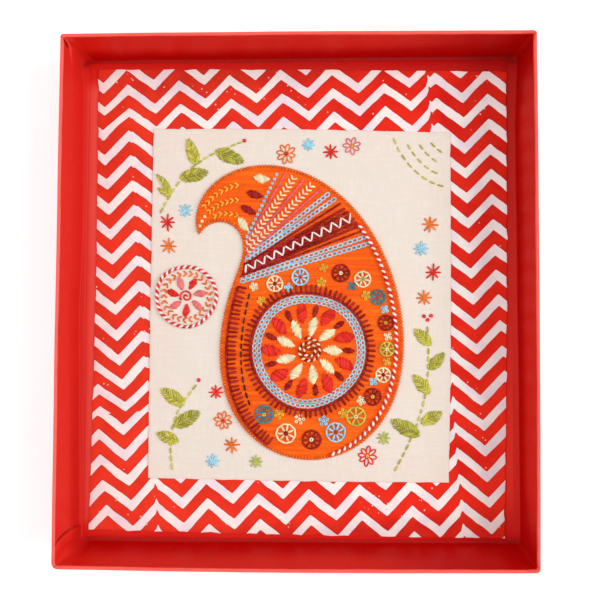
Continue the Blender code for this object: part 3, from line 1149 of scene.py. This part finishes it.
class Needlework:
    """Collects stitches by thread: each is a line of points, its width and its rise."""

    SATIN_SPACE, LEAF_SPACE = 0.95, 1.3  # mm from one stitch of a filled shape to the next
    SATIN_WIDTH, LEAF_WIDTH, LOOP_WIDTH, WHEEL_WIDTH, KNOT_WIDTH = 1.12, 1.15, 0.95, 1.3, 0.85
    CORD_SLANT = math.radians(34)
    OVERLAP = 1.12  # how far a back stitch reaches, 1 being up to the next

    def __init__(self, seed):
        self.random = random.Random(seed)
        self.threads = {}

    def lay(self, thread, points, width, rise=0.0, level=0.0):
        """Adds one stitch. Rise is how far it swells, level how high it lies, in widths."""
        tone = self.random.uniform(-1, 1)
        self.threads.setdefault(thread, []).append((points, width, rise, level, tone))

    def straight(self, thread, start, end, width, rise=0.45, level=0.0, wander=0.12):
        """Adds a straight stitch whose ends wander a little, as a hand sews it."""
        r = self.random.uniform
        points = [(x + r(-wander, wander), y + r(-wander, wander)) for x, y in (start, end)]
        self.lay(thread, points, width * r(0.92, 1.08), rise, level)

    def running(self, thread, path, stitch, space, width):
        """Stitches of uneven length with gaps between them."""
        run = lengths_of(path)
        at = 0.0
        while at + stitch * 0.7 < run[-1]:
            length = stitch * self.random.uniform(0.85, 1.12)
            start, end = along(path, at, run), along(path, at + length, run)
            self.straight(thread, start[:2], end[:2], width)
            at += length + space * self.random.uniform(0.85, 1.15)

    def back(self, thread, path, stitch, width, level=0.0):
        """Stitches end to end, each a little over the next."""
        for start, end in zip(marks(path, stitch), marks(path, stitch, self.OVERLAP)):
            self.straight(thread, start[:2], end[:2], width, 0.4, level, 0.08)

    def whipped(self, threads, path, step, reach, width):
        """A striped cord: slanting stitches of two threads in turn over a line."""
        for k, (x, y, heading) in enumerate(marks(path, step, 0.5)):
            mark = (x, y, heading + self.CORD_SLANT)
            start, end = placed(mark, -reach, 0), placed(mark, reach, 0)
            self.straight(threads[k % 2], start, end, width, 0.75, 0.25, 0.06)

    def blanket(self, thread, path, space, depth, width):
        """Legs square to a line on its right, and the line itself along their feet."""
        self.back(thread, path, space, width * 1.1)
        for x, y, heading in marks(path, space, extra=1):
            mark = (x, y, heading + math.radians(self.random.uniform(-5, 5)))
            reach = depth * self.random.uniform(0.86, 1.06)
            self.straight(thread, (x, y), placed(mark, 0, -reach), width)

    def fly(self, thread, path, space, depth, half, width):
        """Open V stitches that follow each other along a line."""
        for mark in marks(path, space, 0.2):
            for side in (-half, half):
                self.straight(thread, placed(mark, depth, side), mark[:2], width)

    def zigzag(self, thread, path, step, half, width, level):
        """Stitches end to end that cross a line to and fro."""
        turns = enumerate(marks(path, step, extra=1))
        points = [placed(mark, 0, half if k % 2 else -half) for k, mark in turns]
        for start, end in zip(points, points[1:]):
            self.straight(thread, start, end, width, 0.5, level)

    def chain(self, thread, path, link, half, width):
        """Closed loops, each caught in the next."""
        for mark in marks(path, link):
            loop = []
            for step in range(9):
                angle = math.tau * step / 8
                aside = half * math.sin(angle) * (1.25 if math.cos(angle) < 0.3 else 0.95)
                loop.append(placed(mark, link * (0.58 - 0.62 * math.cos(angle)), aside))
            self.lay(thread, loop, width, level=0.22)

    def satin(self, thread, x, y, degrees, length, width):
        """A filled petal of stitches laid side by side across its length."""
        mark = (x, y, math.radians(degrees))
        count = max(3, round(length / self.SATIN_SPACE))
        lean = 0.16 * width
        for k in range(count):
            share = (k + 0.5) / count
            half = width / 2 * math.sqrt(math.sin(math.pi * share**1.2))
            half *= self.random.uniform(0.82, 1.12)
            start = placed(mark, length * share - lean, half)
            end = placed(mark, length * share + lean, -half)
            self.straight(thread, start, end, self.SATIN_WIDTH, 0.7, 0.0, 0.08)

    def leaf(self, thread, x, y, degrees, length, width):
        """A fishbone leaf: stitches slant forward from the middle rib to a toothed edge."""
        mark = (x, y, math.radians(degrees))
        count = round(length / self.LEAF_SPACE)
        for k in range(count):
            share = (k + 0.6) / count
            half = width / 2 * math.sin(math.pi * share**0.9) ** 0.6
            half *= self.random.uniform(0.88, 1.1)
            for side in (-1, 1):
                start = placed(mark, max(length * share - half * 0.95, 0.0), side * 0.2)
                end = placed(mark, length * share, side * half)
                self.straight(thread, start, end, self.LEAF_WIDTH, 0.6, 0.0, 0.1)
        self.back(thread, [placed(mark, -1, 0), placed(mark, length * 0.9, 0)], 3.0, 0.9, 0.4)

    def star(self, thread, x, y, reach, arms=8, inner=0.0, width=1.2, turn=0.0):
        """Straight stitches outwards from a middle."""
        for k in range(arms):
            degrees = turn + 360 * k / arms + self.random.uniform(-5, 5)
            far = reach * self.random.uniform(0.88, 1.1)
            start, end = polar(x, y, reach * inner, degrees), polar(x, y, far, degrees)
            self.straight(thread, start, end, width)

    def daisy(self, thread, heart, x, y, reach, petals):
        """Open looped petals round a knot."""
        turn = self.random.uniform(0, 40)
        half = math.pi * reach * 0.5 / petals
        for k in range(petals):
            degrees = turn + 360 * (k + self.random.uniform(-0.06, 0.06)) / petals
            mark = (x, y, math.radians(degrees))
            far = reach * (self.random.uniform(0.9, 1.08) - 0.2)
            loop = []
            for step in range(11):
                angle = math.tau * step / 10
                away = reach * 0.2 + far * (0.5 - 0.5 * math.cos(angle))
                loop.append(placed(mark, away, half * math.sin(angle)))
            self.lay(thread, loop, self.LOOP_WIDTH, level=0.22)
        self.knot(heart, x, y)

    def wheel(self, thread, x, y, reach, spokes, heart):
        """Spokes inside a ring of short stitches, with a knot in the middle."""
        turn = self.random.uniform(0, 40)
        self.star(thread, x, y, reach * 0.94, spokes, 0.24, self.WHEEL_WIDTH, turn)
        stitch = math.tau * reach / (spokes + 2)
        self.back(thread, arc(x, y, reach, turn, turn + 360), stitch, self.WHEEL_WIDTH)
        self.knot(heart, x, y, reach * 0.16 + 0.3)

    def knot(self, thread, x, y, reach=1.0):
        """A small wound knot that stands up from the cloth."""
        start = self.random.uniform(0, 360)
        points = []
        for k in range(13):
            share = k / 12
            spot = polar(x, y, reach * (1 - 0.45 * share), start + 600 * share)
            points.append((*spot, 0.25 + 0.75 * share))
        self.lay(thread, points, self.KNOT_WIDTH)

    def knots(self, thread, path, space, reach):
        """Knots in a row along a line."""
        for x, y, _ in marks(path, space, 0.5):
            self.knot(thread, x, y, reach)


# --- the design on the applique ---

ROSE_X, ROSE_Y = 7.0, -34.0

RINGS_OF_PETALS = (
    # thread, petals, start radius, length, width, turn
    ("ivory", 9, 10.0, 12.0, 6.4, 0.0),
    ("red", 9, 19.2, 12.0, 8.4, 20.0),
    ("maroon", 9, 22.8, 7.4, 4.0, 0.0),
)

WHEELS = (
    # thread, x, y, reach, spokes, heart
    ("teal", -22.5, -76.5, 6.0, 8, "gold"),
    ("ivory", -8.0, -89.0, 6.6, 7, "maroon"),
    ("maroon", 9.0, -93.0, 6.2, 9, "ivory"),
    ("sky", 25.0, -88.0, 6.4, 8, "red"),
    ("green", 38.5, -77.5, 6.4, 7, "ivory"),
    ("maroon", 49.5, -64.5, 5.6, 9, "gold"),
    ("ivory", 56.5, -50.0, 5.0, 7, "maroon"),
    ("green", 59.0, -33.0, 4.8, 7, "ivory"),
    ("maroon", 58.3, -15.5, 5.1, 8, "gold"),
    ("teal", 53.0, 1.5, 5.0, 7, "red"),
    ("ivory", 43.0, 13.5, 5.4, 7, "green"),
    ("sky", 1.5, 15.0, 5.6, 8, "red"),
    ("maroon", 28.5, 17.5, 5.8, 9, "ivory"),
    ("ivory", -15.5, 10.5, 5.4, 7, "maroon"),
)

KNOT_GROUPS = (
    # thread, x, y, reach of the group, knots
    ("ivory", 1.0, -79.5, 2.6, 5),
    ("gold", -12.5, -76.0, 2.4, 5),
    ("sky", 17.0, -80.5, 2.5, 5),
    ("gold", 30.0, -75.5, 2.3, 5),
    ("ivory", 42.0, -67.0, 2.2, 5),
    ("sky", 50.0, -54.5, 1.9, 4),
    ("gold", 58.8, -41.3, 1.9, 4),
    ("ivory", 59.6, -24.5, 2.0, 4),
    ("sky", 57.5, -6.6, 1.9, 4),
    ("gold", 45.3, 2.8, 2.2, 5),
    ("teal", 36.0, 9.0, 2.1, 4),
    ("gold", 15.5, 11.5, 2.3, 5),
    ("sky", -6.5, 8.0, 1.9, 4),
    ("gold", -24.5, -1.0, 2.1, 5),
    ("ivory", -29.5, 8.5, 2.0, 5),
    ("gold", 17.0, 21.0, 1.9, 4),
)

BANDS = (
    # stitch, thread, share of the applique's length, inset from its edges, sizes
    ("chain", "sky", 0.557, 5.0, (3.4, 1.05, 0.95)),
    ("chain", "sky", 0.571, 5.0, (3.4, 1.05, 0.95)),
    ("back", "maroon", 0.5835, 4.0, (2.9, 1.35)),
    *[("back", "maroon", 0.594 + 0.008 * k, 4.5, (4.8, 1.95)) for k in range(6)],
    ("zigzag", "white", 0.614, 5.0, (3.5, 2.9, 1.25, 0.65)),
    ("back", "maroon", 0.6455, 4.0, (2.9, 1.35)),
    ("chain", "sky", 0.658, 4.5, (3.4, 1.05, 0.95)),
    ("chain", "sky", 0.672, 4.5, (3.4, 1.05, 0.95)),
    ("back", "pink", 0.6865, 4.5, (3.0, 1.35)),
    ("fly", "ivory", 0.703, 4.5, (3.3, 2.3, 2.5, 1.3)),
    ("back", "pink", 0.7195, 4.5, (3.0, 1.35)),
    ("fly", "ivory", 0.736, 4.5, (3.3, 2.3, 2.5, 1.3)),
    ("back", "pink", 0.7525, 4.0, (3.0, 1.35)),
    ("knots", "sky", 0.7655, 4.5, (3.3, 0.95)),
)


def embroider_motif():
    work = Needlework(MOTIF_SEED)
    # overcast edge all round the applique, its outer ends down on the ground cloth
    for side in (-1, 1):
        for mark in marks(motif_edge(0.0, 0.0, 0.995, side), 2.1, 0.5):
            outer = (*placed(mark, 0, -0.55 * side), -1.45)
            inner = (*placed(mark, 0, 1.9 * side), 0.0)
            work.lay("orange", [outer, inner], 1.05, 1.0)
    work.blanket("maroon", motif_edge(4.4, 0.03, 0.535, -1), 3.1, 6.6, 1.5)
    work.running("black", motif_edge(14.2, 0.135, 0.50, -1), 4.2, 1.5, 1.15)
    work.whipped(("red", "white"), motif_edge(4.8, 0.02, 0.60, 1), 2.1, 1.45, 1.65)
    # rosette
    work.whipped(("maroon", "ivory"), coil(ROSE_X, ROSE_Y, 1.4, 8.4, 2.3), 1.9, 1.1, 1.45)
    for thread, petals, start, length, width, turn in RINGS_OF_PETALS:
        for k in range(petals):
            degrees = turn + 360 * k / petals
            work.satin(thread, *polar(ROSE_X, ROSE_Y, start, degrees), degrees, length, width)
    for reach in (33.2, 36.2):
        work.chain("sky", arc(ROSE_X, ROSE_Y, reach, steps=90), 3.3, 0.95, 0.85)
    work.blanket("maroon", arc(ROSE_X, ROSE_Y, 39.0, steps=90), 3.15, 5.4, 1.5)
    # scattered wheels and knots
    for wheel in WHEELS:
        work.wheel(*wheel)
    for thread, x, y, spread, knots in KNOT_GROUPS:
        work.knot(thread, x, y)
        for k in range(knots):
            work.knot(thread, *polar(x, y, spread, 360 * k / knots + x))
    # bands across the neck
    for stitch, thread, share, inset, sizes in BANDS:
        getattr(work, stitch)(thread, motif_across(share, inset), *sizes)
    # petals, rows of open stitches and knots in the tip
    for side in (-0.66, -0.22, 0.22, 0.66):
        x, y = motif_point(0.775, side)
        bx, by = motif_point(0.815, side)
        degrees = math.degrees(math.atan2(by - y, bx - x))
        work.satin("maroon" if abs(side) < 0.5 else "ivory", x, y, degrees, 10.0, 5.8)
    for side in (-0.5, 0.0, 0.5):
        line = [motif_point(0.832 + 0.10 * k / 12, side) for k in range(13)]
        work.fly("gold", line, 3.6, 2.3, 1.8, 1.15)
    for share in (0.945, 0.96, 0.975):
        work.knot("ivory", *motif_point(share, 0.0), 0.9)
    return work


# --- the design on the ground cloth ---

MEDALLION = (-75.0, 2.0)

LEAVES = (
    # thread, x, y, degrees, length, width
    ("green", -87.0, 70.0, 122.0, 17.0, 8.6),
    ("olive", -79.0, 82.0, 12.0, 19.0, 9.4),
    ("green", -69.0, 91.5, 108.0, 18.0, 9.0),
    ("olive", -55.0, 100.0, -22.0, 20.0, 9.6),
    ("green", 82.5, -82.0, 28.0, 15.0, 8.4),
    ("olive", 80.0, -90.0, 152.0, 21.0, 10.0),
    ("green", 87.0, -62.0, 132.0, 16.0, 8.2),
    ("olive", 88.0, -46.0, 48.0, 14.0, 7.4),
    ("green", 88.0, -30.0, 136.0, 15.0, 7.6),
    ("green", -77.0, -70.0, 146.0, 18.0, 9.2),
    ("olive", -82.0, -84.5, 30.0, 19.0, 9.6),
    ("green", -80.5, -95.0, 158.0, 15.0, 8.0),
)

STEMS = (
    # x and y of both ends, bulge
    (-93.0, 58.0, -38.0, 106.0, 9.0),
    (-84.0, -114.0, -67.0, -56.0, 8.0),
    (64.0, -114.0, 86.0, -16.0, -9.0),
)

BERRIES = ((86.3, -13.6), (83.8, -11.2), (88.6, -10.8), (-66.4, -54.0), (-36.2, 107.0))

STARS = (
    # thread, x, y, reach
    ("orange", 88.0, 50.0, 5.8),
    ("sky", 82.0, 34.0, 5.2),
    ("red", 90.0, 18.0, 5.6),
    ("orange", 84.0, 1.0, 5.2),
    ("red", -88.0, 52.0, 5.6),
    ("sky", -76.0, 60.0, 5.0),
    ("orange", -87.0, 36.0, 5.4),
    ("orange", -44.0, -97.0, 5.6),
    ("sky", -57.0, -108.0, 4.8),
    ("red", -55.0, -62.0, 5.0),
    ("lime", -28.0, -108.0, 4.6),
    ("red", 22.0, 99.0, 5.4),
    ("sky", 7.0, 104.0, 4.4),
    ("lime", 57.0, -92.0, 4.6),
)

DAISIES = (
    # thread, heart, x, y, reach, petals
    ("orange", "red", -8.0, 98.0, 6.6, 8),
    ("rose", "gold", 36.0, 103.0, 5.6, 7),
    ("red", "gold", 46.0, -104.0, 6.4, 8),
    ("orange", "red", -50.0, -81.0, 6.0, 8),
)

HEM = 3.0  # mm along the cloth's edges that stay clear of stitches


def inside_ground(x, y):
    """Whether a place lies on the ground cloth and clear of its edges."""
    corners = GROUND_PLAN[0]
    for (ax, ay), (bx, by) in zip(corners, corners[1:] + corners[:1]):
        across = (bx - ax) * (y - ay) - (by - ay) * (x - ax)
        if across < HEM * math.hypot(bx - ax, by - ay):
            return False
    return True


def embroider_ground():
    work = Needlework(GROUND_SEED)
    # round medallion
    work.whipped(("red", "white"), arc(*MEDALLION, 20.0, steps=90), 2.1, 1.6, 1.65)
    work.fly("orange", arc(*MEDALLION, 15.4, steps=60), 3.8, 2.4, 2.0, 1.15)
    for k in range(7):
        degrees = 360 * k / 7 + 12
        place = polar(*MEDALLION, 5.4, degrees)
        work.satin("red" if k % 2 else "rose", *place, degrees, 8.0, 5.0)
    work.back("red", coil(*MEDALLION, 0.8, 4.4, 1.6), 2.1, 1.2)
    # sprigs
    for stem in STEMS:
        work.running("green", bend(*stem), 4.2, 1.0, 1.15)
    for leaf in LEAVES:
        work.leaf(*leaf)
    for x, y in BERRIES:
        work.knot("red", x, y, 1.15)
    for daisy in DAISIES:
        work.daisy(*daisy)
    # rows of running stitches that turn one corner
    for k in range(4):
        work.running("green", arc(106.0, 118.0, 22.0 + 7.0 * k, 184, 266, 40), 4.4, 1.8, 1.0)
    for star in STARS:
        work.star(*star)
    for thread, stitches in work.threads.items():
        work.threads[thread] = [
            stitch for stitch in stitches
            if all(inside_ground(*point[:2]) for point in stitch[0])
        ]
    return work


# ---- stage ----


class EMBROIDERY_OT_stage(bpy.types.Operator):
    """Make the plain floor, the soft lights and the camera above the tray"""

    bl_idname = "embroidery.stage"
    bl_label = "Stage"

    LIGHTS = (
        # name, place, size, power: all aim at the origin
        ("window", (1.2, 0.0, 1.0), 0.9, 11.5),
        ("fill", (-0.9, 0.0, 1.1), 1.4, 4.5),
        ("overhead", (-0.05, 0.1, 1.6), 1.4, 7.8),
    )
    FLOOR_HALF = 4.0  # metres
    SKY_STRENGTH = 0.42
    CAMERA_PLACE = (0.01159, -0.01140, 0.47612)
    CAMERA_TURN = (0.0236, 0.0220, 0.0007)
    SENSOR_WIDTH = 36.0

    def execute(self, context):
        settings = context.scene.stage_look
        scene = context.scene
        mesh = bpy.data.meshes.new("floor")
        bm = bmesh.new()
        bmesh.ops.create_grid(bm, x_segments=1, y_segments=1, size=self.FLOOR_HALF)
        bm.to_mesh(mesh)
        bm.free()
        look = Look("floor_finish", roughness=0.9, emission_color=(1, 1, 1), emission_strength=0.25)
        shade = tuple(c * 0.98 for c in settings.floor)
        mesh.materials.append(look.finish(look.blend(look.noise(40.0), settings.floor, shade)))
        add_object("floor", mesh)
        for name, place, size, power in self.LIGHTS:
            light = bpy.data.lights.new(name, "AREA")
            light.shape = "DISK"
            light.size = size
            light.energy = power
            lamp = add_object(name, light)
            lamp.location = place
            lamp.rotation_euler = (-Vector(place)).to_track_quat("-Z", "Y").to_euler()
        world = bpy.data.worlds.new("studio")
        world.use_nodes = True
        sky = world.node_tree.nodes["Background"].inputs
        sky["Color"].default_value = (1, 1, 1, 1)
        sky["Strength"].default_value = self.SKY_STRENGTH
        scene.world = world
        scene.view_settings.view_transform = "Standard"
        camera = bpy.data.cameras.new("camera")
        camera.lens = settings.lens
        camera.sensor_width = self.SENSOR_WIDTH
        camera.clip_start = 0.01
        viewer = add_object("camera", camera)
        viewer.location = self.CAMERA_PLACE
        viewer.rotation_euler = self.CAMERA_TURN
        scene.camera = viewer
        return {"FINISHED"}


class EMBROIDERY_PT_panel(bpy.types.Panel):
    """Lists the pieces of the embroidery and its settings"""

    bl_label = "Embroidery"
    bl_idname = "EMBROIDERY_PT_panel"
    bl_space_type = "VIEW_3D"
    bl_region_type = "UI"
    bl_category = "Embroidery"

    def draw(self, context):
        for operator in OPERATORS:
            self.layout.operator(operator.bl_idname)
        for name, group in GROUPS.items():
            box = self.layout.box()
            for field in group.__annotations__:
                box.prop(getattr(context.scene, name), field)


OPERATORS = (
    EMBROIDERY_OT_tray,
    EMBROIDERY_OT_board,
    EMBROIDERY_OT_printed_cloth,
    EMBROIDERY_OT_ground_cloth,
    EMBROIDERY_OT_applique,
    EMBROIDERY_OT_stage,
)


def register():
    for name, group in GROUPS.items():
        bpy.utils.register_class(group)
        setattr(bpy.types.Scene, name, bpy.props.PointerProperty(type=group))
    for operator in OPERATORS:
        bpy.utils.register_class(operator)
    bpy.utils.register_class(EMBROIDERY_PT_panel)


def unregister():
    bpy.utils.unregister_class(EMBROIDERY_PT_panel)
    for operator in reversed(OPERATORS):
        bpy.utils.unregister_class(operator)
    for name, group in GROUPS.items():
        delattr(bpy.types.Scene, name)
        bpy.utils.unregister_class(group)


def main():
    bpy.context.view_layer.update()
    register()
    bpy.ops.embroidery.stage()
    bpy.ops.embroidery.tray()
    bpy.ops.embroidery.board()
    bpy.ops.embroidery.printed_cloth()
    bpy.ops.embroidery.ground_cloth()
    bpy.ops.embroidery.applique()


if __name__ == "__main__":
    main()
